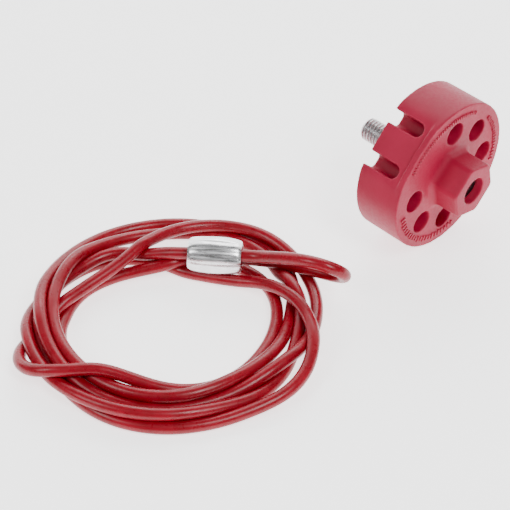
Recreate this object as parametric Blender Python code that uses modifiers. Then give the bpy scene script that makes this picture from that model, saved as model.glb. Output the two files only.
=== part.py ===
"""Round lockout hasp with its cable: a red drum for six padlocks, a stud with washer and nut, and a
sheathed wire rope with a crimped eye.  Metres, +Z up.  The drum stands on its rim, nose towards -Y."""
import bpy
import bmesh
from math import cos, pi, radians, sin, sqrt
from mathutils import Matrix, Vector

# Driving dimensions
BODY_RADIUS = 0.032
BODY_DEPTH = 0.0205
FLAT_OFFSET = 0.91 * BODY_RADIUS        # axis to a side flat
FLANGE_OFFSET = 0.965 * BODY_RADIUS     # axis to the flange's flat, just past the side flat
FLANGE_THICK = 0.0024
LEAN = radians(43.7)                    # how far the padlock holes' middle line leans up from +X

HOLE_RING = 0.0210                      # axis to each padlock hole
HOLE_RADIUS = 0.0047
HOLE_STEP = radians(44)                 # between the three holes of a group

GROOVE_WIDTH = 0.0058
GROOVE_OFFSET = 0.0092                  # middle line to a groove's centre
GROOVE_FLOOR = 0.0206                   # axis to the groove's floor
GROOVE_LENGTH = 0.0155                  # from the back to the rounded front end

NOSE_CORNER = 0.01235                   # axis to a corner of the hexagon
NOSE_HEIGHT = 0.0125
NOSE_FILLET = 0.0026
NOSE_EDGE = 0.0005
NOSE_HOLE_RADIUS = 0.00565
NOSE_WALL = 0.0040                      # front wall around the nose hole

STUD_RADIUS = 0.0049
STUD_LENGTH = 0.0450                    # under the head
THREAD_CHAMFER = 0.0012
HEAD_FLATS = 0.0170
HEAD_HEIGHT = 0.0064
GAP = 0.0003                            # between pieces that touch
RUNNING_GAP = 0.0004                    # between the stud and what runs on it

RECESS_RADIUS = 0.0130
RECESS_DEPTH = 0.0060
WASHER_RADIUS = 0.0100
WASHER_THICK = 0.0020
NUT_FLATS = 0.0170
NUT_HEIGHT = 0.0080

CABLE = 0.0050                          # sheathed diameter
FERRULE_LENGTH = 0.0210
FERRULE_MID_RADIUS = 0.0074
FERRULE_END_RADIUS = 0.0058
FERRULE_CENTRE = Vector((-0.0821, 0.0333, 0.0125))
FERRULE_HEADING = radians(-51.3)        # of its axis, from +X

COIL_HEADING = radians(-45.6)           # of the coil's long axis, from +X
COIL_OUTER = (0.0590, 0.0530)           # half length and half width
COIL_OUTER_CENTRE = (-0.1125, 0.0279)
COIL_INNER = (0.0400, 0.0320)
COIL_INNER_CENTRE = (-0.1181, 0.0242)
COIL_HEIGHT = 0.0110
FLOOR_LIFT = 0.0002                     # keeps the coil clear of the floor plane
LEG_TROUGH_WIDTH = 0.0190               # the space in the coil's top for the eye's lower leg
LEG_TROUGH_FLOOR = 0.0053
LEG_TROUGH_HEADING = radians(-57)
LEG_TROUGH_LENGTH = 0.0500

LEG_OFFSET = (0.0024, 0.0016)           # of the eye's legs in the ferrule's end, down and sideways
LEG_STRAIGHT = 0.0060                   # how far a leg runs straight out of the ferrule

# The eye's centre line, from its upper leg round to its lower leg
EYE_ROUTE = [
    (-0.0718, 0.0138, 0.0175),
    (-0.0693, 0.0050, 0.0212),
    (-0.0668, -0.0042, 0.0238),
    (-0.0632, -0.0112, 0.0228),
    (-0.0590, -0.0138, 0.0184),
    (-0.0560, -0.0114, 0.0128),
    (-0.0556, -0.0048, 0.0089),
    (-0.0588, 0.0052, 0.0079),
    (-0.0642, 0.0148, 0.0082),
]

HEAD_TOP = NOSE_HEIGHT - NOSE_WALL - GAP
HEAD_UNDERSIDE = HEAD_TOP - HEAD_HEIGHT
STUD_END = HEAD_UNDERSIDE - STUD_LENGTH
FACE_Y = (NOSE_HEIGHT + STUD_END) / 2   # puts the middle of the hasp's depth at y = 0
RECESS_FLOOR = RECESS_DEPTH - BODY_DEPTH
WASHER_FRONT = RECESS_FLOOR - GAP
NUT_FRONT = WASHER_FRONT - WASHER_THICK - GAP

PAST = 0.002                            # how far a cutter reaches past what it cuts
WELD = 1e-6                             # vertices closer than this are one
ROUND_STEPS = 96
RECESS_STEPS = 64
HOLE_STEPS = 40
BOLT_STEPS = 48
TROUGH_STEPS = 32
FERRULE_STEPS = 28
COIL_STEPS = 72


def clear_scene():
    for item in list(bpy.data.objects):
        bpy.data.objects.remove(item, do_unlink=True)


def new_collection(name):
    collection = bpy.data.collections.new(name)
    bpy.context.scene.collection.children.link(collection)
    return collection


def plain_material(name, colour, roughness, metallic):
    material = bpy.data.materials.new(name)
    material.use_nodes = True
    shader = material.node_tree.nodes["Principled BSDF"]
    shader.inputs["Base Color"].default_value = (*colour, 1.0)
    shader.inputs["Roughness"].default_value = roughness
    shader.inputs["Metallic"].default_value = metallic
    return material


def link_mesh(name, mesh, collection, material=None, parent=None):
    item = bpy.data.objects.new(name, mesh)
    collection.objects.link(item)
    item.parent = parent
    if material:
        mesh.materials.append(material)
    return item


def smooth(item, angle=radians(35)):
    item.data.shade_smooth()
    item.data.set_sharp_from_angle(angle=angle)


def hide_cutter(item):
    item.hide_render = True
    item.display_type = "WIRE"


def mesh_from_bmesh(name, shape):
    mesh = bpy.data.meshes.new(name)
    shape.to_mesh(mesh)
    shape.free()
    return mesh


def mesh_from_object(item):
    """The evaluated mesh of an object, welded, with the object removed."""
    graph = bpy.context.evaluated_depsgraph_get()
    mesh = bpy.data.meshes.new_from_object(item.evaluated_get(graph))
    mesh.transform(item.matrix_world)
    shape = bmesh.new()
    shape.from_mesh(mesh)
    bmesh.ops.remove_doubles(shape, verts=shape.verts, dist=WELD)
    shape.to_mesh(mesh)
    shape.free()
    bpy.data.objects.remove(item, do_unlink=True)
    return mesh


def cylinder_mesh(name, radius, low, high, steps, centre=(0, 0)):
    """A prism about the local Z axis, from height low to height high."""
    shape = bmesh.new()
    place = Matrix.Translation((centre[0], centre[1], (low + high) / 2))
    bmesh.ops.create_cone(shape, cap_ends=True, segments=steps, radius1=radius, radius2=radius,
                          depth=high - low, matrix=place)
    return mesh_from_bmesh(name, shape)


def hexagon_mesh(name, flats, low, high):
    """A hexagonal prism whose corners lie along the local X axis."""
    shape = bmesh.new()
    corner = flats / sqrt(3)
    place = Matrix.Translation((0, 0, (low + high) / 2)) @ Matrix.Rotation(pi / 2, 4, "Z")
    bmesh.ops.create_cone(shape, cap_ends=True, segments=6, radius1=corner, radius2=corner,
                          depth=high - low, matrix=place)
    return mesh_from_bmesh(name, shape)


def turned_mesh(name, profile, steps):
    """A profile of (radius, height) points, top to bottom, turned about the local Z axis."""
    mesh = bpy.data.meshes.new(name)
    edges = [(i, i + 1) for i in range(len(profile) - 1)]
    mesh.from_pydata([(radius, 0, height) for radius, height in profile], edges, [])
    item = bpy.data.objects.new(name, mesh)
    bpy.context.scene.collection.objects.link(item)
    screw = item.modifiers.new("turn", "SCREW")
    screw.steps = steps
    screw.render_steps = steps
    screw.use_merge_vertices = True
    screw.merge_threshold = WELD
    return mesh_from_object(item)


def outline_mesh(name, loops, low, high):
    """A flat outline, with any holes as further loops, between two heights."""
    curve = bpy.data.curves.new(name, "CURVE")
    curve.dimensions = "2D"
    curve.fill_mode = "BOTH"
    curve.extrude = (high - low) / 2
    for loop in loops:
        spline = curve.splines.new("POLY")
        spline.points.add(len(loop) - 1)
        for point, (x, y) in zip(spline.points, loop):
            point.co = (x, y, 0, 1)
        spline.use_cyclic_u = True
    item = bpy.data.objects.new(name, curve)
    bpy.context.scene.collection.objects.link(item)
    item.location.z = (high + low) / 2
    bpy.context.view_layer.update()
    return mesh_from_object(item)


def combine(item, tool, operation):
    boolean = item.modifiers.new(tool.name, "BOOLEAN")
    boolean.operation = operation
    boolean.solver = "EXACT"
    boolean.object = tool


def box_mesh(name, low, high):
    shape = bmesh.new()
    size = Vector(high) - Vector(low)
    middle = (Vector(high) + Vector(low)) / 2
    place = Matrix.Translation(middle) @ Matrix.Diagonal((*size, 1))
    bmesh.ops.create_cube(shape, size=1, matrix=place)
    return mesh_from_bmesh(name, shape)


def slab_mesh(name, side, offset, low, high):
    """A cutter for one flat, from offset out past the drum's rim."""
    near, far = sorted((side * offset, side * (BODY_RADIUS + PAST)))
    return box_mesh(name, (-BODY_RADIUS, near, low), (BODY_RADIUS, far, high))


def groove_outline():
    """The groove seen square to its flat: X across it, Y towards the nose."""
    half = GROOVE_WIDTH / 2
    front = GROOVE_LENGTH - half
    end = [(half * cos(pi * i / 12), front + half * sin(pi * i / 12)) for i in range(13)]
    return end + [(-half, -PAST), (half, -PAST)]


def make_groove(name, side, across):
    """A cutter for one groove, on the flat at side (+1 or -1), across the middle line."""
    mesh = outline_mesh(name, [groove_outline()], 0, BODY_RADIUS + PAST - GROOVE_FLOOR)
    facing = Matrix.Rotation(pi / 2, 4, "X")
    if side > 0:
        facing = Matrix.Rotation(pi, 4, "Z") @ facing
    place = Matrix.Translation((across * GROOVE_OFFSET, side * GROOVE_FLOOR, -BODY_DEPTH))
    mesh.transform(place @ facing)
    return mesh


def nose_profile():
    """The nose from its top down to inside the drum, with an edge chamfer and a fillet at its foot."""
    steps = 5
    fillet = []
    for i in range(steps + 1):
        angle = pi / 2 * i / steps
        fillet.append((NOSE_CORNER + NOSE_FILLET * (1 - cos(angle)), NOSE_FILLET * (1 - sin(angle))))
    top = [(0, NOSE_HEIGHT), (NOSE_CORNER - NOSE_EDGE, NOSE_HEIGHT), (NOSE_CORNER, NOSE_HEIGHT - NOSE_EDGE)]
    foot = fillet[-1][0]
    return top + fillet + [(foot, -FLANGE_THICK / 2), (0, -FLANGE_THICK / 2)]


def make_body(parts, cutters, parent, red):
    back = -BODY_DEPTH - PAST
    drum = cylinder_mesh("body", BODY_RADIUS, -BODY_DEPTH, 0, ROUND_STEPS)
    body = link_mesh("body", drum, parts, red, parent)
    nose = link_mesh("add_nose", turned_mesh("nose", nose_profile(), 6), cutters, None, parent)
    hide_cutter(nose)
    combine(body, nose, "UNION")

    cuts = {
        "pocket": hexagon_mesh("pocket", HEAD_FLATS + 2 * GAP, RECESS_FLOOR - PAST, HEAD_TOP + GAP),
        "recess": cylinder_mesh("recess", RECESS_RADIUS, back, RECESS_FLOOR, RECESS_STEPS),
        "nose_hole": cylinder_mesh("nose_hole", NOSE_HOLE_RADIUS, 0, NOSE_HEIGHT + PAST, BOLT_STEPS),
    }
    for group in (0, pi):
        for step in (-1, 0, 1):
            angle = group + step * HOLE_STEP
            centre = (HOLE_RING * cos(angle), HOLE_RING * sin(angle))
            name = f"padlock_hole_{sum(cut.startswith('padlock') for cut in cuts) + 1}"
            cuts[name] = cylinder_mesh(name, HOLE_RADIUS, back, PAST, HOLE_STEPS, centre)
    for side, word in ((-1, "low"), (1, "high")):
        name = "flange_flat_" + word
        cuts[name] = slab_mesh(name, side, FLANGE_OFFSET, back, PAST)
        name = "side_flat_" + word
        cuts[name] = slab_mesh(name, side, FLAT_OFFSET, back, -FLANGE_THICK)
        for across in (-1, 1):
            name = f"groove_{word}_{(across + 3) // 2}"
            cuts[name] = make_groove(name, side, across)
    for name, mesh in cuts.items():
        tool = link_mesh("cut_" + name, mesh, cutters, None, parent)
        hide_cutter(tool)
        combine(body, tool, "DIFFERENCE")


def make_stud(parts, cutters, parent, steel):
    """A hex-head stud, threaded to its end."""
    root = HEAD_UNDERSIDE + PAST
    shank = [(0, root), (STUD_RADIUS, root), (STUD_RADIUS, STUD_END + THREAD_CHAMFER),
             (STUD_RADIUS - THREAD_CHAMFER, STUD_END), (0, STUD_END)]
    stud = link_mesh("threaded_stud", turned_mesh("threaded_stud", shank, BOLT_STEPS), parts, steel, parent)
    hexagon = hexagon_mesh("head", HEAD_FLATS, HEAD_UNDERSIDE, HEAD_TOP)
    head = link_mesh("add_head", hexagon, cutters, None, parent)
    hide_cutter(head)
    combine(stud, head, "UNION")
    smooth(stud)


def make_bored(name, outer, low, high, parts, cutters, parent, material):
    """A prism with a running bore for the stud."""
    item = link_mesh(name, outer, parts, material, parent)
    bore_radius = STUD_RADIUS + RUNNING_GAP
    bore_mesh = cylinder_mesh(name + "_bore", bore_radius, low - PAST, high + PAST, BOLT_STEPS)
    bore = link_mesh("cut_" + name, bore_mesh, cutters, None, parent)
    hide_cutter(bore)
    combine(item, bore, "DIFFERENCE")
    smooth(item)
    return item


def make_stud_hardware(parts, cutters, parent, steel, nylon):
    bush_high = HEAD_UNDERSIDE - GAP
    bush_low = RECESS_FLOOR
    bush = hexagon_mesh("stud_retainer", HEAD_FLATS, bush_low, bush_high)
    make_bored("stud_retainer", bush, bush_low, bush_high, parts, cutters, parent, nylon)

    washer_back = WASHER_FRONT - WASHER_THICK
    washer = cylinder_mesh("clamp_washer", WASHER_RADIUS, washer_back, WASHER_FRONT, BOLT_STEPS)
    make_bored("clamp_washer", washer, washer_back, WASHER_FRONT, parts, cutters, parent, steel)

    nut_back = NUT_FRONT - NUT_HEIGHT
    nut = hexagon_mesh("clamp_nut", NUT_FLATS, nut_back, NUT_FRONT)
    make_bored("clamp_nut", nut, nut_back, NUT_FRONT, parts, cutters, parent, steel)


def smooth_route(points, spacing):
    """Points at about even spacing along a Catmull-Rom curve through the route."""
    knots = [Vector(point) for point in points]
    knots = [2 * knots[0] - knots[1]] + knots + [2 * knots[-1] - knots[-2]]
    route = []
    for a, b, c, d in zip(knots, knots[1:], knots[2:], knots[3:]):
        pieces = max(2, round((c - b).length / spacing))
        for i in range(pieces):
            t = i / pieces
            route.append(0.5 * (2 * b + (c - a) * t + (2 * a - 5 * b + 4 * c - d) * t ** 2
                                + (3 * b - a - 3 * c + d) * t ** 3))
    route.append(knots[-2])
    return route


def ferrule_matrix():
    """The ferrule's own Z axis lies along the cable, from the coil towards the eye; its X points down."""
    turn = Matrix.Rotation(FERRULE_HEADING, 4, "Z") @ Matrix.Rotation(pi / 2, 4, "Y")
    return Matrix.Translation(FERRULE_CENTRE) @ turn


def leg_ends(side):
    """The straight start of the eye's upper (-1) or lower (+1) leg."""
    down, sideways = LEG_OFFSET
    start = FERRULE_LENGTH / 2 + GAP
    return [ferrule_matrix() @ Vector((side * down, side * sideways, start + further))
            for further in (0, LEG_STRAIGHT)]


def make_eye(parts, red):
    curve = bpy.data.curves.new("cable_eye", "CURVE")
    curve.dimensions = "3D"
    curve.bevel_depth = CABLE / 2
    curve.bevel_resolution = 3
    curve.use_fill_caps = True
    route = smooth_route(leg_ends(-1) + EYE_ROUTE + leg_ends(1)[::-1], 0.5 * CABLE)
    spline = curve.splines.new("POLY")
    spline.points.add(len(route) - 1)
    for point, place in zip(spline.points, route):
        point.co = (*place, 1)
    curve.materials.append(red)
    parts.objects.link(bpy.data.objects.new("cable_eye", curve))


def make_ferrule(parts, aluminium):
    half = FERRULE_LENGTH / 2
    steps = 8
    side = []
    for i in range(steps + 1):
        height = half - FERRULE_LENGTH * i / steps
        swell = cos(pi / 2 * height / half)
        side.append((FERRULE_END_RADIUS + (FERRULE_MID_RADIUS - FERRULE_END_RADIUS) * swell, height))
    profile = [(0, half)] + side + [(0, -half)]
    ferrule = link_mesh("ferrule", turned_mesh("ferrule", profile, FERRULE_STEPS), parts, aluminium)
    ferrule.matrix_world = ferrule_matrix()
    smooth(ferrule)


def ellipse(half_sizes, centre):
    points = []
    for i in range(COIL_STEPS):
        angle = 2 * pi * i / COIL_STEPS
        along = half_sizes[0] * cos(angle)
        across = half_sizes[1] * sin(angle)
        points.append((centre[0] + along * cos(COIL_HEADING) - across * sin(COIL_HEADING),
                       centre[1] + along * sin(COIL_HEADING) + across * cos(COIL_HEADING)))
    return points


def make_coil(parts, cutters, red):
    """The coil's outer shape, with a trough for the ferrule and the eye's legs."""
    outer = ellipse(COIL_OUTER, COIL_OUTER_CENTRE)
    loops = [outer, ellipse(COIL_INNER, COIL_INNER_CENTRE)]
    coil = link_mesh("cable_coil", outline_mesh("cable_coil", loops, FLOOR_LIFT, COIL_HEIGHT), parts, red)
    half = FERRULE_LENGTH / 2 + GAP
    trough = cylinder_mesh("ferrule_trough", FERRULE_MID_RADIUS + 2 * GAP, -half, half, TROUGH_STEPS)
    trough.transform(ferrule_matrix())
    side = LEG_TROUGH_WIDTH / 2
    legs = box_mesh("leg_trough", (0, -side, LEG_TROUGH_FLOOR), (LEG_TROUGH_LENGTH, side, COIL_HEIGHT + PAST))
    start = ferrule_matrix() @ Vector((0, 0, half - PAST / 2))
    legs.transform(Matrix.Translation((start.x, start.y, 0)) @ Matrix.Rotation(LEG_TROUGH_HEADING, 4, "Z"))
    for mesh in (trough, legs):
        tool = link_mesh("cut_" + mesh.name, mesh, cutters)
        hide_cutter(tool)
        combine(coil, tool, "DIFFERENCE")


def main():
    clear_scene()
    parts = new_collection("lockout_hasp")
    cutters = new_collection("cutters")
    axis = bpy.data.objects.new("hasp_axis", None)
    parts.objects.link(axis)
    axis.location = (0, FACE_Y, BODY_RADIUS)
    axis.rotation_euler = (pi / 2, -LEAN, 0)

    red_nylon = plain_material("red_nylon", (0.62, 0.03, 0.07), 0.42, 0.0)
    black_nylon = plain_material("black_nylon", (0.02, 0.02, 0.022), 0.5, 0.0)
    red_sheath = plain_material("red_sheath", (0.50, 0.008, 0.018), 0.22, 0.0)
    steel = plain_material("zinc_plated_steel", (0.62, 0.62, 0.63), 0.28, 1.0)
    aluminium = plain_material("aluminium", (0.80, 0.80, 0.82), 0.3, 1.0)

    make_body(parts, cutters, axis, red_nylon)
    make_stud(parts, cutters, axis, steel)
    make_stud_hardware(parts, cutters, axis, steel, black_nylon)
    make_eye(parts, red_sheath)
    make_ferrule(parts, aluminium)
    make_coil(parts, cutters, red_sheath)


main()
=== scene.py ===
"""Looks of the round lockout hasp and its cable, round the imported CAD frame.  Metres, +Z up."""
from math import ceil, cos, pi, radians, sin, sqrt

import bmesh
import bpy
import numpy as np
from mathutils import Euler, Matrix, Vector


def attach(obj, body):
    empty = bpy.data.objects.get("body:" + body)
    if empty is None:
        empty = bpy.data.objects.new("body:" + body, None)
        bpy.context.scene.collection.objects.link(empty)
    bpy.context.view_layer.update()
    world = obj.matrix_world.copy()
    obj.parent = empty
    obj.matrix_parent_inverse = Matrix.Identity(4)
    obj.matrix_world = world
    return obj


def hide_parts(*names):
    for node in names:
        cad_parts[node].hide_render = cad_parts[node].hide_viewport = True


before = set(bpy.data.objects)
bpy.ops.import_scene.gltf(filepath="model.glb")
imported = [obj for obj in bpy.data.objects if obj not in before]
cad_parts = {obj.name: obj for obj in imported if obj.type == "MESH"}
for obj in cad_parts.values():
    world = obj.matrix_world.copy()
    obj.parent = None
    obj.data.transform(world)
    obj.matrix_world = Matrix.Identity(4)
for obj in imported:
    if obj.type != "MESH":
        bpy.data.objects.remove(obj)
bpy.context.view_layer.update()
MM = 0.001

# The drum, as in the CAD source
BODY_RADIUS = 32.0 * MM
BODY_DEPTH = 20.5 * MM
FLAT_OFFSET = 0.91 * BODY_RADIUS
FLANGE_OFFSET = 0.965 * BODY_RADIUS
FLANGE_THICK = 2.4 * MM
LEAN = radians(43.7)
HOLE_RING = 21.0 * MM
HOLE_RADIUS = 4.7 * MM
HOLE_STEP = radians(44)
GROOVE_WIDTH = 5.8 * MM
GROOVE_OFFSET = 9.2 * MM
GROOVE_FLOOR = 20.6 * MM
GROOVE_LENGTH = 15.5 * MM
GROOVE_FILLET = 2.0 * MM
NOSE_CORNER = 12.35 * MM
NOSE_HEIGHT = 12.5 * MM
NOSE_FILLET = 2.6 * MM
NOSE_EDGE = 0.5 * MM
NOSE_HOLE_RADIUS = 5.65 * MM
NOSE_WALL = 4.0 * MM
RECESS_RADIUS = 13.0 * MM
RECESS_DEPTH = 6.0 * MM

# The stud and what is on it
STUD_RADIUS = 4.9 * MM
STUD_LENGTH = 45.0 * MM
PITCH = 1.5 * MM
THREAD_DEPTH = 0.85 * MM
THREAD_CHAMFER = 1.2 * MM
HEAD_FLATS = 17.0 * MM
HEAD_HEIGHT = 6.4 * MM
GAP = 0.3 * MM
RUNNING_GAP = 0.4 * MM
WASHER_RADIUS = 10.0 * MM
WASHER_THICK = 2.0 * MM
NUT_FLATS = 17.0 * MM
NUT_HEIGHT = 8.0 * MM
HEAD_TOP = NOSE_HEIGHT - NOSE_WALL - GAP
HEAD_UNDERSIDE = HEAD_TOP - HEAD_HEIGHT
STUD_END = HEAD_UNDERSIDE - STUD_LENGTH
RECESS_FLOOR = RECESS_DEPTH - BODY_DEPTH
WASHER_FRONT = RECESS_FLOOR - GAP
NUT_FRONT = WASHER_FRONT - WASHER_THICK - GAP
FACE_Y = (NOSE_HEIGHT + STUD_END) / 2
DEVICE = (Matrix.Translation((0, FACE_Y, BODY_RADIUS))
          @ Euler((pi / 2, -LEAN, 0)).to_matrix().to_4x4())

# How far a cutter goes past the skin, and the angles from which an edge is shaded sharp
PAST = 2.0 * MM
SHARP_STEEL = radians(25)
SHARP_ROPE = radians(30)
SHARP_FERRULE = radians(40)
SHARP_SOFT = radians(60)

# The cable, its ferrule and its coil
CABLE = 5.0 * MM
FERRULE_LENGTH = 21.0 * MM
FERRULE_MID_RADIUS = 7.4 * MM
FERRULE_END_RADIUS = 5.8 * MM
FERRULE_CENTRE = Vector((-82.1, 33.3, 12.5)) * MM
FERRULE_HEADING = radians(-51.3)
FERRULE = (Matrix.Translation(FERRULE_CENTRE) @ Matrix.Rotation(FERRULE_HEADING, 4, "Z")
           @ Matrix.Rotation(pi / 2, 4, "Y"))
LEG_OFFSET = (2.4 * MM, 1.6 * MM)
LEG_STRAIGHT = 6.0 * MM
# Points round the eye in mm, from the upper leg to the lower one
EYE_ROUTE = [
    (-71.8, 13.8, 17.5), (-69.3, 5.0, 21.2), (-66.8, -4.2, 23.8), (-63.2, -11.2, 22.8),
    (-59.0, -13.8, 18.4), (-56.0, -11.4, 12.8), (-55.6, -4.8, 8.9), (-58.8, 5.2, 7.9),
    (-64.2, 14.8, 8.2),
]
# Twelve stations go round the coil: 0 is on the camera's right, 3 at the back, 6 on its left and
# 9 at the front.  The first turn begins one station after FIRST_STATION.
COIL_HEADING = radians(-45.6)
COIL_MIDDLE = Vector((-116.4, 24.6)) * MM
STATION = radians(30)
FIRST_STATION = 3.0

# The turns from the ferrule to the free end: radius and height in mm, one pair per station.  A
# third number is how many stations on from the last one a pair is, where that isn't one.
TURNS = [
    # first: down from the ferrule, low at the front, high at the right, inmost at the back right
    (45.5, 7), (49.5, 3.5), (50.5, 4.5), (47.5, 3), (48.5, 2.5), (49, 2.5), (50, 2.5), (59, 7.5),
    (55, 8.5), (44, 8), (31.5, 5), (35.5, 2.5),
    # second: outermost at the left, over the first at the front left, low at the back right
    (46, 2.5), (50, 2.5), (54.5, 2.5), (51, 4.5), (48, 7.5), (46.5, 6), (46.5, 5), (50, 2.5),
    (50.5, 2.5), (54, 2.5), (57, 2.5), (53, 2.5),
    # third: over the first at the back left, inner at the left, high at the front
    (51, 5), (48, 9), (44.5, 7.5), (40.5, 4.5), (38.5, 5), (39, 8), (39, 8), (41, 6),
    (47, 2.5), (55, 2.5), (60, 2.5), (60, 2.5),
    # fourth: outermost and high at the back left, outermost at the right, high at the back
    (58, 5), (53.5, 9.5), (49, 5), (45, 3), (43, 3), (40.5, 2.5), (41, 2.5), (48, 6.5),
    (57, 2.5), (62, 2.5), (60, 7.5), (49, 8.5),
    # fifth: down across the back left, out to the left end and sharply back over the front left
    (34.5, 12), (37, 4), (41, 2.5, 0.5), (50, 2.5, 0.5), (59.5, 3, 0.5), (57, 8, 0.5),
    (39, 7.5, 0.5), (32.5, 4, 0.5), (34.5, 2.5), (36, 2.5), (38, 2.5), (42, 2.5), (46.5, 2.5),
    (42.5, 4),
    # sixth: inner at the left, to the free end under the front strands
    (31, 6.5), (34, 5), (41, 2.5), (43, 2.5), (40.5, 2.5), (38.5, 2.5), (38, 2.5, 0.5),
]


# ---------------------------------------------------------------- camera

def make_camera():
    """The camera, from its place and its three axes, which are unit vectors."""
    place = Vector((-0.38174, -0.28155, 0.43503))
    right = Vector((0.69926, -0.71487, 0.0))
    up = Vector((0.49835, 0.48748, 0.71695))
    toward = Vector((-0.51252, -0.50133, 0.69713))
    data = bpy.data.cameras.new("camera")
    data.lens = 109.06
    data.sensor_width = 36.0
    data.clip_start = 0.05
    data.clip_end = 10.0
    camera = bpy.data.objects.new("camera", data)
    bpy.context.scene.collection.objects.link(camera)
    turn = Matrix((right, up, toward)).transposed().to_4x4()
    camera.matrix_world = Matrix.Translation(place) @ turn
    bpy.context.scene.camera = camera


# ---------------------------------------------------------------- the cable's route

def catmull_rom(points, spacing):
    """Points at about even spacing along a smooth curve through the given ones."""
    knots = [2 * points[0] - points[1]] + list(points) + [2 * points[-1] - points[-2]]
    route = []
    for a, b, c, d in zip(knots, knots[1:], knots[2:], knots[3:]):
        pieces = max(1, ceil(np.linalg.norm(c - b) / spacing))
        for i in range(pieces):
            t = i / pieces
            route.append(0.5 * (2 * b + (c - a) * t + (2 * a - 5 * b + 4 * c - d) * t ** 2
                                + (3 * b - a - 3 * c + d) * t ** 3))
    route.append(knots[-2])
    return np.array(route)


def even_spacing(points, spacing):
    """Points a fixed distance apart along the line through the given ones."""
    steps = np.linalg.norm(np.diff(points, axis=0), axis=1)
    along = np.concatenate(([0], np.cumsum(steps)))
    wanted = np.linspace(0, along[-1], round(along[-1] / spacing) + 1)
    return np.stack([np.interp(wanted, along, points[:, k]) for k in range(3)], axis=1)


def on_ferrule(down, sideways, along):
    """A place given from the ferrule's middle, along its own three axes."""
    return np.array(FERRULE @ Vector((down, sideways, along)))


def coil_points():
    """The stations of the turns, from the ferrule's coil end to the free end."""
    half = FERRULE_LENGTH / 2
    points = [on_ferrule(0, 0, -half + LEG_STRAIGHT), on_ferrule(0, 0, -half - LEG_STRAIGHT)]
    station = FIRST_STATION
    for turn in TURNS:
        station += turn[2] if len(turn) == 3 else 1
        angle = station * STATION + COIL_HEADING
        radius = turn[0] * MM
        points.append(np.array((COIL_MIDDLE.x + radius * cos(angle),
                                COIL_MIDDLE.y + radius * sin(angle), turn[1] * MM)))
    return points


def eye_points():
    """From inside the ferrule, out by the upper leg, round the eye and back in by the lower one."""
    down, sideways = LEG_OFFSET
    half = FERRULE_LENGTH / 2
    upper = [on_ferrule(-down, -sideways, half + step) for step in (-LEG_STRAIGHT, LEG_STRAIGHT)]
    lower = [on_ferrule(down, sideways, half + step) for step in (LEG_STRAIGHT, -LEG_STRAIGHT)]
    return upper + [np.array(point) * MM for point in EYE_ROUTE] + lower


def smoothed(values, reach):
    """Values averaged along the cable with a bell-shaped weight, reach points wide; ends stay."""
    width = 3 * reach
    bell = np.exp(-0.5 * (np.arange(-width, width + 1) / reach) ** 2)
    bell /= bell.sum()
    first = 2 * values[0] - values[width:0:-1]
    last = 2 * values[-1] - values[-2:-width - 2:-1]
    padded = np.concatenate((first, values, last))
    return np.stack([np.convolve(padded[:, k], bell, "valid") for k in range(3)], axis=1)


def settle(points, held, entering):
    """Lets the turns sink onto the floor and each other, a diameter apart, and round the ferrule.
    The held points stay, and the entering ones may be inside the ferrule."""
    rounds = 300
    last_rounds = 0.75 * rounds                     # from here on it sinks little and bends freely
    near = 5                                        # points this close along the cable don't push
    sink, last_sink = 0.04 * MM, 0.15
    pull_home = 0.08                                # shares of each shortfall made up in one round
    push_apart = 0.7
    push_off_ferrule = 0.5
    straighten, last_straighten = 0.6, 0.3
    tiny = 1e-9
    home = points.copy()
    count = len(points)
    apart = np.abs(np.subtract.outer(np.arange(count), np.arange(count))) > near
    axis = np.array(FERRULE.to_3x3() @ Vector((0, 0, 1)))
    middle = np.array(FERRULE_CENTRE)
    free = (~held)[:, None]
    loose = smoothed(np.repeat(free.astype(float), 3, axis=1), 2) * free
    for turn in range(rounds):
        ending = turn > last_rounds
        step = np.zeros_like(points)
        step[:, 2] -= sink * (last_sink if ending else 1)
        step += pull_home * (home - points) * (1, 1, 0)
        gap = points[:, None, :] - points[None, :, :]
        distance = np.sqrt((gap ** 2).sum(axis=2)) + tiny
        touching = apart & (distance < CABLE)
        push = np.where(touching, (CABLE - distance) / distance, 0)
        push = (push[:, :, None] * gap).sum(axis=1)
        step += push_apart * smoothed(push, 1 if ending else 2)
        along = (points - middle) @ axis
        off = points - middle - along[:, None] * axis
        far = np.linalg.norm(off, axis=1) + tiny
        short = np.maximum(FERRULE_MID_RADIUS + CABLE / 2 - far, 0)
        short[entering | (np.abs(along) > FERRULE_LENGTH / 2 + CABLE / 2)] = 0
        step += push_off_ferrule * smoothed(off / far[:, None] * short[:, None], 1)
        strayed = points - home * (1, 1, 0)
        step += (last_straighten if ending else straighten) * (smoothed(strayed, 2) - strayed)
        points = points + step * loose
        points[:, 2] = np.maximum(points[:, 2], CABLE / 2)
    return points


def cable_route():
    """One line: from the free end through the turns and the ferrule, round the eye and back in."""
    spacing = 0.6 * CABLE
    held_turns = 3                                  # last points of the turns, in the ferrule
    entering_turns = 15                             # last points that may touch the ferrule
    turns = even_spacing(catmull_rom(coil_points(), spacing / 2), spacing)[::-1]
    eye = even_spacing(catmull_rom(eye_points(), spacing / 2), spacing)
    points = smoothed(np.concatenate((smoothed(turns, 3), eye)), 1)
    place = np.arange(len(points))
    held = place >= len(turns) - held_turns
    entering = place >= len(turns) - entering_turns
    return smoothed(catmull_rom(settle(points, held, entering), spacing / 2), 1)


def make_cord(route):
    """The cable as one round curve along the route."""
    curve = bpy.data.curves.new("cable", "CURVE")
    curve.dimensions = "3D"
    curve.bevel_depth = CABLE / 2
    curve.bevel_resolution = 5
    curve.use_fill_caps = True
    spline = curve.splines.new("POLY")
    spline.points.add(len(route) - 1)
    for point, place in zip(spline.points, route):
        point.co = (*place, 1)
    cable = bpy.data.objects.new("cable", curve)
    bpy.context.scene.collection.objects.link(cable)
    return cable


# ---------------------------------------------------------------- mesh helpers

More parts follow.
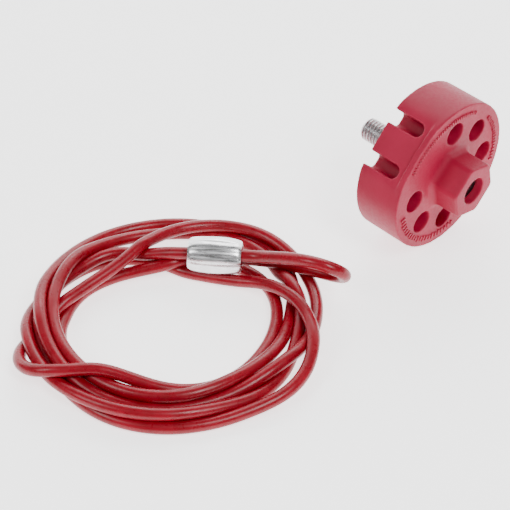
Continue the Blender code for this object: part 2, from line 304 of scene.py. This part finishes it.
def add_object(name, mesh, matrix=None, smooth_angle=None):
    """A linked object; the matrix goes into its mesh, and edges below the angle are made smooth."""
    if matrix is not None:
        mesh.transform(matrix)
    item = bpy.data.objects.new(name, mesh)
    bpy.context.scene.collection.objects.link(item)
    if smooth_angle is not None:
        mesh.shade_smooth()
        mesh.set_sharp_from_angle(angle=smooth_angle)
    return item


def finished_mesh(name, shape):
    """A mesh of the bmesh, with doubles merged and the normals outwards."""
    bmesh.ops.remove_doubles(shape, verts=shape.verts, dist=1e-7)
    bmesh.ops.recalc_face_normals(shape, faces=shape.faces)
    mesh = bpy.data.meshes.new(name)
    shape.to_mesh(mesh)
    shape.free()
    return mesh


def add_loft(shape, rings, closed=False):
    """Faces between rings of equally many points.  Closed joins the last ring to the first, and
    otherwise both ends get a cap."""
    made = [[shape.verts.new(point) for point in points] for points in rings]
    pairs = list(zip(made, made[1:]))
    if closed:
        pairs.append((made[-1], made[0]))
    for lower, upper in pairs:
        for i in range(len(lower)):
            j = (i + 1) % len(lower)
            shape.faces.new((lower[i], lower[j], upper[j], upper[i]))
    if not closed:
        shape.faces.new(made[0][::-1])
        shape.faces.new(made[-1])


def ring(radius, height, steps, shift=(0.0, 0.0)):
    """Points round Z; radius and height are numbers, or functions of the angle."""
    points = []
    for i in range(steps):
        angle = 2 * pi * i / steps
        reach = radius(angle) if callable(radius) else radius
        level = height(angle) if callable(height) else height
        points.append((reach * cos(angle) + shift[0], reach * sin(angle) + shift[1], level))
    return points


def prism(name, outline, low, high):
    """A flat outline drawn out from low to high."""
    shape = bmesh.new()
    add_loft(shape, [[(x, y, z) for x, y in outline] for z in (low, high)])
    return finished_mesh(name, shape)


def hexagon_reach(flats, corner_round=0.25 * MM):
    """The distance from the axis to the side of a hexagon with soft corners, one of them on X."""
    half = flats / 2
    corner = flats / sqrt(3) - corner_round

    def reach(angle):
        turn = (angle + pi / 6) % (pi / 3) - pi / 6
        return min(half / cos(pi / 6 - abs(turn)), corner)

    return reach


# ---------------------------------------------------------------- the drum

def drum_outline(flat):
    """The drum's round outline with its two flats, softly blended; the flats face local Y."""
    points = []
    steps = 240
    blend = 60
    tiny = 1e-3
    for i in range(steps):
        angle = 2 * pi * i / steps
        to_flat = flat / max(abs(sin(angle)), tiny)
        reach = (BODY_RADIUS ** -blend + to_flat ** -blend) ** (-1 / blend)
        points.append((reach * cos(angle), reach * sin(angle)))
    return points


def nose_mesh():
    """Six sides with a chamfered top edge and a wide fillet at the foot."""
    shape = bmesh.new()
    steps = 96
    fillet_steps = 8
    corner_round = 0.5 * MM
    side = hexagon_reach(NOSE_CORNER * sqrt(3), corner_round)
    rings = [ring(lambda a: side(a) - NOSE_EDGE, NOSE_HEIGHT, steps),
             ring(side, NOSE_HEIGHT - NOSE_EDGE, steps)]
    for i in range(fillet_steps + 1):
        angle = pi / 2 * i / fillet_steps
        out = NOSE_FILLET * (1 - cos(angle))
        rings.append(ring(lambda a, out=out: side(a) + out, NOSE_FILLET * (1 - sin(angle)), steps))
    rings.append(ring(lambda a: side(a) + NOSE_FILLET, -FLANGE_THICK / 2, steps))
    add_loft(shape, rings[::-1])
    return finished_mesh("nose", shape)


def groove_mesh(side, across):
    """A cutter for one cable groove, round at the front and filleted along its floor."""
    half = GROOVE_WIDTH / 2
    front = GROOVE_LENGTH - half
    steps = 16
    fillet_steps = 6
    outlines = []
    for i in range(fillet_steps + 1):
        angle = pi / 2 * i / fillet_steps
        inset = GROOVE_FILLET * (1 - sin(angle))
        outlines.append((half - inset, GROOVE_FILLET * (1 - cos(angle))))
    outlines.append((half, BODY_RADIUS - GROOVE_FLOOR + PAST))
    rings = []
    for width, height in outlines:
        around = [pi * k / steps for k in range(steps + 1)]
        outline = [(width * cos(angle), front + width * sin(angle)) for angle in around]
        outline += [(-width, -PAST), (width, -PAST)]
        rings.append([(x, y, height) for x, y in outline])
    shape = bmesh.new()
    add_loft(shape, rings)
    mesh = finished_mesh("groove", shape)
    facing = Matrix.Rotation(pi / 2, 4, "X")
    if side > 0:
        facing = Matrix.Rotation(pi, 4, "Z") @ facing
    corner = Vector((across * GROOVE_OFFSET, side * GROOVE_FLOOR, -BODY_DEPTH))
    mesh.transform(Matrix.Translation(corner) @ facing)
    return mesh


def round_cutter(name, radius, low, high, centre=(0.0, 0.0)):
    """A round bar for cutting a hole."""
    steps = 72
    shape = bmesh.new()
    add_loft(shape, [ring(radius, low, steps, centre), ring(radius, high, steps, centre)])
    return finished_mesh(name, shape)


def drum_cutters():
    """What is cut from the drum: pocket, recess, nose hole, padlock holes and cable grooves."""
    pocket = [(x, y) for x, y, _ in ring(hexagon_reach(HEAD_FLATS + 2 * GAP), 0, 96)]
    cutters = [
        prism("pocket", pocket, RECESS_FLOOR - PAST, HEAD_TOP + GAP),
        round_cutter("recess", RECESS_RADIUS, -BODY_DEPTH - PAST, RECESS_FLOOR),
        round_cutter("nose_hole", NOSE_HOLE_RADIUS, 0, NOSE_HEIGHT + PAST),
    ]
    for group in (0, pi):
        for step in (-1, 0, 1):
            angle = group + step * HOLE_STEP
            centre = (HOLE_RING * cos(angle), HOLE_RING * sin(angle))
            low = -BODY_DEPTH - PAST
            cutters.append(round_cutter("padlock_hole", HOLE_RADIUS, low, PAST, centre))
    for side in (-1, 1):
        for across in (-1, 1):
            cutters.append(groove_mesh(side, across))
    return cutters


def add_boolean(item, mesh, operation):
    """Adds a Boolean to the item, and returns the object that it cuts or joins with."""
    tool = add_object("tool", mesh)
    boolean = item.modifiers.new("cut", "BOOLEAN")
    boolean.operation = operation
    boolean.solver = "EXACT"
    boolean.object = tool
    return tool


def make_drum():
    """The moulded drum: cut to shape, then remeshed and relaxed to round its edges a little."""
    voxel, quick_voxel = 0.4 * MM, 0.8 * MM
    middle = prism("drum", drum_outline(FLAT_OFFSET), -BODY_DEPTH, -FLANGE_THICK / 2)
    flange = prism("flange", drum_outline(FLANGE_OFFSET), -FLANGE_THICK, 0)
    drum = add_object("drum", middle)
    tools = [add_boolean(drum, mesh, "UNION") for mesh in (flange, nose_mesh())]
    tools += [add_boolean(drum, mesh, "DIFFERENCE") for mesh in drum_cutters()]
    remesh = drum.modifiers.new("remesh", "REMESH")
    remesh.mode = "VOXEL"
    remesh.voxel_size = voxel
    relax = drum.modifiers.new("relax", "SMOOTH")
    relax.factor = 0.5
    relax.iterations = 4
    graph = bpy.context.evaluated_depsgraph_get()
    mesh = bpy.data.meshes.new_from_object(drum.evaluated_get(graph))
    for item in [drum] + tools:
        bpy.data.objects.remove(item, do_unlink=True)
    return add_object("moulded_drum", mesh, DEVICE, SHARP_SOFT)


def make_rim_marks():
    """Raised ribs as generic marks round the face; an arc is two angles in degrees, and a size."""
    ring_radius = 28.0 * MM
    high = 0.55 * MM
    arcs = [(18, 104, 0.85 * MM), (-60, -4, 1.1 * MM), (145, 238, 1.4 * MM)]
    spacing = 1.5                                   # this and the next two are times an arc's size
    lengths = (1.0, 0.75, 1.0, 0.85, 0.7)
    width = 0.34
    top_length, top_width = 0.9, 0.75               # shares of the foot's
    corners = ((-1, -1), (1, -1), (1, 1), (-1, 1))
    shape = bmesh.new()
    for start, end, size in arcs:
        count = round(radians(end - start) * ring_radius / (spacing * size))
        for i in range(count):
            angle = radians(start + (end - start) * (i + 0.5) / count)
            half_length = size * lengths[i % len(lengths)]
            half_width = width * size
            place = Matrix.Rotation(angle, 4, "Z") @ Matrix.Translation((ring_radius, 0, 0))
            low = [(x * half_length, y * half_width, -high) for x, y in corners]
            top = [(x * top_length, y * top_width, high) for x, y, _ in low]
            add_loft(shape, [[place @ Vector(point) for point in level] for level in (low, top)])
    return add_object("rim_marks", finished_mesh("rim_marks", shape), DEVICE)


# ---------------------------------------------------------------- stud, washer, nut, bush

def thread_profile(phase):
    """How far below its crest the thread is, from 0 to 1, over one pitch: a V, cut flat."""
    slope = 0.375                                   # a flank's share of the pitch
    crest = 0.125                                   # the flat crest's share, and the root's
    distance = abs((phase % 1.0) - 0.5) * 2
    return min(1.0, max(0.0, (distance - crest) / (2 * slope)))


def add_thread(shape, low, high, radius, depth, chamfer):
    """A closed threaded rod from low to high, with its low end chamfered."""
    around = 72
    rows_per_pitch = 16
    rows = round(rows_per_pitch * (high - low) / PITCH)
    levels = [low + (high - low) * j / rows for j in range(rows + 1)]

    def reach(level):
        def at(angle):
            phase = (level - low) / PITCH - angle / (2 * pi)
            return min(radius - depth * thread_profile(phase), radius - chamfer + level - low)

        return at

    add_loft(shape, [ring(reach(level), level, around) for level in levels])


def chamfered_hexagon(flats, low, high, bore, chamfer_low=True):
    """Rings of a bolt head or nut, its corners cut back by a cone, with a bore unless that is 0."""
    steps = 120
    corner_round = 0.12 * MM
    side = hexagon_reach(flats, corner_round)
    inner = 0.475 * flats                           # radius where the cone starts
    slope = 0.45

    def edge(level, sign):
        return lambda angle: level + sign * slope * max(side(angle) - inner, 0)

    bottom = edge(low, 1) if chamfer_low else low
    levels = [(inner, low), (side, bottom), (side, edge(high, -1)), (inner, high)]
    if bore:
        lead = 0.6 * MM
        levels += [(bore + lead, high), (bore, high - lead), (bore, low + lead), (bore + lead, low)]
    return [ring(radius, height, steps) for radius, height in levels]


def make_stud():
    """The threaded rod, and the hex head that its top runs into."""
    shape = bmesh.new()
    overlap = 0.5 * MM
    add_thread(shape, STUD_END, HEAD_UNDERSIDE + overlap, STUD_RADIUS, THREAD_DEPTH, THREAD_CHAMFER)
    flats = HEAD_FLATS - 0.1 * MM
    add_loft(shape, chamfered_hexagon(flats, HEAD_UNDERSIDE, HEAD_TOP, 0, chamfer_low=False))
    return add_object("steel_stud", finished_mesh("steel_stud", shape), DEVICE, SHARP_STEEL)


def make_nut():
    """A chamfered hex nut with a plain bore just clear of the thread."""
    shape = bmesh.new()
    bore = STUD_RADIUS + 0.15 * MM
    rings = chamfered_hexagon(NUT_FLATS, NUT_FRONT - NUT_HEIGHT, NUT_FRONT, bore)
    add_loft(shape, rings, closed=True)
    return add_object("steel_nut", finished_mesh("steel_nut", shape), DEVICE, SHARP_STEEL)


def make_washer():
    """A flat washer with small chamfers on its edges."""
    shape = bmesh.new()
    steps = 96
    rim = WASHER_RADIUS
    front = WASHER_FRONT
    back = front - WASHER_THICK
    bore = STUD_RADIUS + RUNNING_GAP
    edge = 0.35 * MM
    path = [(rim - edge, back), (rim, back + edge), (rim, front - edge), (rim - edge, front),
            (bore + edge / 2, front), (bore, front - edge / 2), (bore, back + edge / 2),
            (bore + edge / 2, back)]
    add_loft(shape, [ring(radius, height, steps) for radius, height in path], closed=True)
    return add_object("steel_washer", finished_mesh("steel_washer", shape), DEVICE, SHARP_STEEL)


def make_bush():
    """The hexagonal bush that holds the stud's head in the nose."""
    shape = bmesh.new()
    bore = STUD_RADIUS + RUNNING_GAP
    rings = chamfered_hexagon(HEAD_FLATS, RECESS_FLOOR, HEAD_UNDERSIDE - GAP, bore)
    add_loft(shape, rings, closed=True)
    return add_object("nylon_bush", finished_mesh("nylon_bush", shape), DEVICE, SHARP_STEEL)


# ---------------------------------------------------------------- ferrule and cable end

def make_ferrule():
    """An aluminium sleeve pressed into long facets, with rounded lips and a mouth at each end."""
    shape = bmesh.new()
    steps = 112
    levels = 28
    facets = 14
    half = FERRULE_LENGTH / 2
    lip = 0.7 * MM
    fullness = 0.45                                 # lower keeps its width nearer to the ends
    facet_depth = 0.3 * MM
    facet_power = 0.6                               # lower gives flatter facets
    facet_sway = 0.25                               # how unequal the facets are
    uneven = 0.06 * MM                              # depth of the waves that wind round it

    def outside(along):
        swell = cos(pi / 2 * along / half) ** fullness
        base = FERRULE_END_RADIUS + (FERRULE_MID_RADIUS - FERRULE_END_RADIUS) * swell
        dent = facet_depth * swell

        def reach(angle):
            wave = abs(sin(facets * angle / 2 + facet_sway * sin(3 * angle)))
            return base - dent * (1 - wave ** facet_power) + uneven * sin(5 * angle + 400 * along)

        return reach

    rings = []
    for i in range(levels + 1):
        along = -half + FERRULE_LENGTH * i / levels
        rings.append(ring(outside(along), along, steps))
    mouth = FERRULE_END_RADIUS - lip
    inset = 0.1 * MM
    for radius, height in ((mouth, half - inset), (mouth - lip, half - 2 * lip),
                           (mouth - lip, -half + 2 * lip), (mouth, -half + inset)):
        rings.append(ring(radius, height, steps))
    add_loft(shape, rings, closed=True)
    mesh = finished_mesh("crimped_ferrule", shape)
    return add_object("crimped_ferrule", mesh, FERRULE, SHARP_FERRULE)


def make_cable_end(route):
    """The cut steel rope seen in the sheath's free end: a middle strand with six round it."""
    start = Vector(route[0])
    heading = (start - Vector(route[2])).normalized()
    turn = heading.to_track_quat("Z", "Y").to_matrix().to_4x4()
    shape = bmesh.new()
    steps = 20
    wire = 0.52 * MM
    apart = 2.04 * wire
    levels = [(wire, -0.8 * MM), (wire, 0.45 * MM), (0.75 * wire, 0.6 * MM)]
    places = [(0.0, 0.0)]
    places += [(apart * cos(pi * k / 3), apart * sin(pi * k / 3)) for k in range(6)]
    for place in places:
        add_loft(shape, [ring(radius, height, steps, place) for radius, height in levels])
    mesh = finished_mesh("rope_core", shape)
    return add_object("rope_core", mesh, Matrix.Translation(start) @ turn, SHARP_ROPE)


# ---------------------------------------------------------------- materials

class Nodes:
    """A short way to write a material's nodes."""

    def __init__(self, name):
        self.material = bpy.data.materials.new(name)
        self.material.use_nodes = True
        self.tree = self.material.node_tree
        self.shader = self.tree.nodes["Principled BSDF"]
        self.place = self.tree.nodes.new("ShaderNodeTexCoord").outputs["Object"]

    def add(self, kind, inputs=None, **settings):
        node = self.tree.nodes.new(kind)
        for key, value in settings.items():
            setattr(node, key, value)
        for key, value in (inputs or {}).items():
            if isinstance(value, bpy.types.NodeSocket):
                self.tree.links.new(value, node.inputs[key])
            else:
                node.inputs[key].default_value = value
        return node

    def noise(self, scale, detail=3.0, roughness=0.5, stretch=(1.0, 1.0, 1.0)):
        place = self.add("ShaderNodeMapping", {"Vector": self.place, "Scale": stretch}).outputs[0]
        inputs = {"Vector": place, "Scale": scale, "Detail": detail, "Roughness": roughness}
        return self.add("ShaderNodeTexNoise", inputs).outputs["Fac"]

    def spread(self, value, low, high, start=0.35, end=0.65):
        inputs = {"Value": value, "From Min": start, "From Max": end, "To Min": low, "To Max": high}
        return self.add("ShaderNodeMapRange", inputs).outputs[0]

    def mix(self, amount, first, second):
        node = self.add("ShaderNodeMix", data_type="RGBA")
        for index, value in ((0, amount), (6, first), (7, second)):
            socket = node.inputs[index]
            if isinstance(value, bpy.types.NodeSocket):
                self.tree.links.new(value, socket)
            else:
                socket.default_value = value if isinstance(value, float) else (*value, 1.0)
        return node.outputs[2]

    def bumps(self, *layers):
        """Each layer is (height value, distance in metres, strength)."""
        normal = None
        for height, distance, strength in layers:
            inputs = {"Height": height, "Distance": distance, "Strength": strength}
            if normal is not None:
                inputs["Normal"] = normal
            normal = self.add("ShaderNodeBump", inputs).outputs[0]
        self.link("Normal", normal)

    def link(self, name, value):
        self.tree.links.new(value, self.shader.inputs[name])

    def set(self, **values):
        for name, value in values.items():
            self.shader.inputs[name.replace("_", " ")].default_value = value


def moulded_red():
    """Satin moulded nylon: a fine spark-eroded grain, faint flow marks, and sharp convex edges
    painted paler as a highlight.
    """
    n = Nodes("moulded_red_nylon")
    flow = n.spread(n.noise(60.0, 4.0, 0.6, (1.0, 1.0, 0.35)), 0.0, 1.0)
    body = n.mix(flow, (0.32, 0.004, 0.032), (0.38, 0.006, 0.041))
    # Sharp convex edges are painted paler pink: a painted highlight standing in for light on the
    # rounded edges.
    edge_highlight = n.spread(n.add("ShaderNodeNewGeometry").outputs["Pointiness"], 0.0, 0.35, 0.52, 0.60)
    n.link("Base Color", n.mix(edge_highlight, body, (0.52, 0.05, 0.09)))
    n.link("Roughness", n.spread(n.noise(900.0), 0.44, 0.56))
    n.bumps((n.noise(3200.0, 2.0), 0.00006, 0.35), (n.noise(240.0, 3.0), 0.0001, 0.10))
    n.set(IOR=1.45, Specular_IOR_Level=0.32)
    return n.material


def sheath_red():
    """Glossy deep red vinyl: uneven in depth and gloss, slightly wavy, with scuffs and dust."""
    n = Nodes("glossy_red_sheath")
    depth = n.spread(n.noise(140.0, 4.0, 0.6), 0.0, 1.0)
    colour = n.mix(depth, (0.245, 0.002, 0.010), (0.320, 0.003, 0.016))
    dust = n.spread(n.noise(420.0, 5.0, 0.7), 0.0, 0.06, 0.56, 0.75)
    n.link("Base Color", n.mix(dust, colour, (0.40, 0.10, 0.11)))
    n.link("Roughness", n.spread(n.noise(300.0, 4.0), 0.24, 0.34))
    n.bumps((n.noise(520.0, 2.0), 0.00012, 0.10), (n.noise(2600.0, 2.0), 0.00003, 0.12))
    n.set(IOR=1.5, Specular_IOR_Level=0.36)
    return n.material


def zinc_steel():
    """Bright zinc-plated steel with turning marks and small stains."""
    n = Nodes("bright_zinc_steel")
    stain = n.spread(n.noise(500.0, 5.0, 0.65), 0.0, 1.0)
    n.link("Base Color", n.mix(stain, (0.46, 0.46, 0.47), (0.62, 0.62, 0.62)))
    n.link("Roughness", n.spread(n.noise(1400.0, 4.0), 0.26, 0.40))
    n.bumps((n.noise(2500.0, 3.0, 0.6, (1.0, 6.0, 1.0)), 0.00003, 0.25))
    n.set(Metallic=1.0)
    return n.material


def pressed_aluminium():
    """Pressed aluminium: bright, drawn lengthwise, with dull patches where the press closed."""
    n = Nodes("pressed_aluminium")
    lengthwise = {"Vector": n.place, "Rotation": (0.0, 0.0, -FERRULE_HEADING)}
    turned = n.add("ShaderNodeMapping", lengthwise).outputs[0]
    drawn = n.add("ShaderNodeMapping", {"Vector": turned, "Scale": (0.08, 1.0, 1.0)}).outputs[0]
    inputs = {"Vector": drawn, "Scale": 1500.0, "Detail": 4.0}
    lines = n.add("ShaderNodeTexNoise", inputs).outputs["Fac"]
    patch = n.spread(n.noise(260.0, 4.0, 0.6), 0.0, 1.0)
    n.link("Base Color", n.mix(patch, (0.74, 0.74, 0.76), (0.90, 0.90, 0.91)))
    n.link("Roughness", n.spread(lines, 0.22, 0.42))
    n.bumps((lines, 0.00008, 0.30), (n.noise(700.0, 3.0), 0.00008, 0.15))
    n.set(Metallic=1.0)
    return n.material


def black_nylon():
    """Matt black moulded nylon with a fine grain."""
    n = Nodes("moulded_black_nylon")
    shade = n.spread(n.noise(200.0), 0.0, 1.0)
    n.link("Base Color", n.mix(shade, (0.012, 0.012, 0.013), (0.028, 0.028, 0.030)))
    n.link("Roughness", n.spread(n.noise(900.0), 0.42, 0.58))
    n.bumps((n.noise(3000.0, 2.0), 0.00005, 0.3))
    return n.material


def pale_floor():
    """Nearly white, and lit a little from within so that it stays pale under soft lights."""
    n = Nodes("pale_floor")
    shade = n.spread(n.noise(8.0), 0.0, 1.0)
    n.link("Base Color", n.mix(shade, (0.93, 0.93, 0.93), (0.95, 0.95, 0.95)))
    n.link("Roughness", n.spread(n.noise(40.0), 0.55, 0.65))
    n.set(Emission_Color=(1.0, 1.0, 1.0, 1.0), Emission_Strength=1.9)
    return n.material


# ---------------------------------------------------------------- floor and lights

def make_floor():
    """A plain floor that curves up far behind the object."""
    shape = bmesh.new()
    width = 3.0
    near, far = -2.0, 0.8                           # along the camera's heading
    bend = 0.8
    bend_steps = 12
    wall = 3.0
    path = [(near, 0.0), (far, 0.0)]
    for k in range(1, bend_steps + 1):
        angle = pi / 2 * k / bend_steps
        path.append((far + bend * sin(angle), bend - bend * cos(angle)))
    path.append((far + bend, wall))
    rows = [[shape.verts.new((x, y, z)) for x in (-width, width)] for y, z in path]
    for row, after in zip(rows, rows[1:]):
        shape.faces.new((row[0], row[1], after[1], after[0]))
    facing = Matrix.Rotation(COIL_HEADING, 4, "Z")
    floor = add_object("floor", finished_mesh("floor", shape), facing, SHARP_SOFT)
    floor.data.materials.append(pale_floor())


def add_light(name, place, target, size, power):
    """A rectangular area light at a place, facing a target."""
    data = bpy.data.lights.new(name, "AREA")
    data.shape = "RECTANGLE"
    data.size, data.size_y = size
    data.energy = power
    light = bpy.data.objects.new(name, data)
    bpy.context.scene.collection.objects.link(light)
    light.location = place
    light.rotation_mode = "QUATERNION"
    light.rotation_quaternion = (Vector(target) - Vector(place)).to_track_quat("-Z", "Y")


def make_lights():
    """Three soft boxes with their power in watts, and a dim white world."""
    middle = (-0.05, 0.0, 0.02)
    add_light("key_softbox", (-0.15, -0.75, 1.05), middle, (0.35, 0.6), 10.0)
    add_light("fill_softbox", (-0.95, 0.25, 0.85), middle, (0.35, 0.6), 5.0)
    add_light("back_softbox", (0.75, 0.65, 0.9), middle, (0.7, 0.4), 3.5)
    world = bpy.data.worlds.new("studio")
    bpy.context.scene.world = world
    world.use_nodes = True
    background = world.node_tree.nodes["Background"]
    background.inputs["Color"].default_value = (1.0, 1.0, 1.0, 1.0)
    background.inputs["Strength"].default_value = 0.18


# ---------------------------------------------------------------- putting it together

def place_piece(item, body, material, slot, *nodes):
    """Gives a piece its material and body, and hides the CAD nodes that it stands for; the slot is
    not used.
    """
    item.data.materials.clear()
    item.data.materials.append(material)
    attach(item, body)
    if nodes:
        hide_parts(*nodes)


make_camera()
route = cable_route()
cable = make_cord(route)
ferrule = make_ferrule()
rope_core = make_cable_end(route)
steel = zinc_steel()
red = moulded_red()
place_piece(cable, "cable", sheath_red(), "red_sheath", "cable_eye", "cable_coil")
place_piece(ferrule, "cable", pressed_aluminium(), "aluminium", "ferrule")
place_piece(rope_core, "cable", steel, "zinc_plated_steel")
place_piece(make_drum(), "housing", red, "red_nylon", "body")
place_piece(make_rim_marks(), "housing", red, "red_nylon")
place_piece(make_stud(), "housing", steel, "zinc_plated_steel", "threaded_stud")
place_piece(make_bush(), "housing", black_nylon(), "black_nylon", "stud_retainer")
place_piece(make_washer(), "washer", steel, "zinc_plated_steel", "clamp_washer")
place_piece(make_nut(), "nut", steel, "zinc_plated_steel", "clamp_nut")
make_floor()
make_lights()
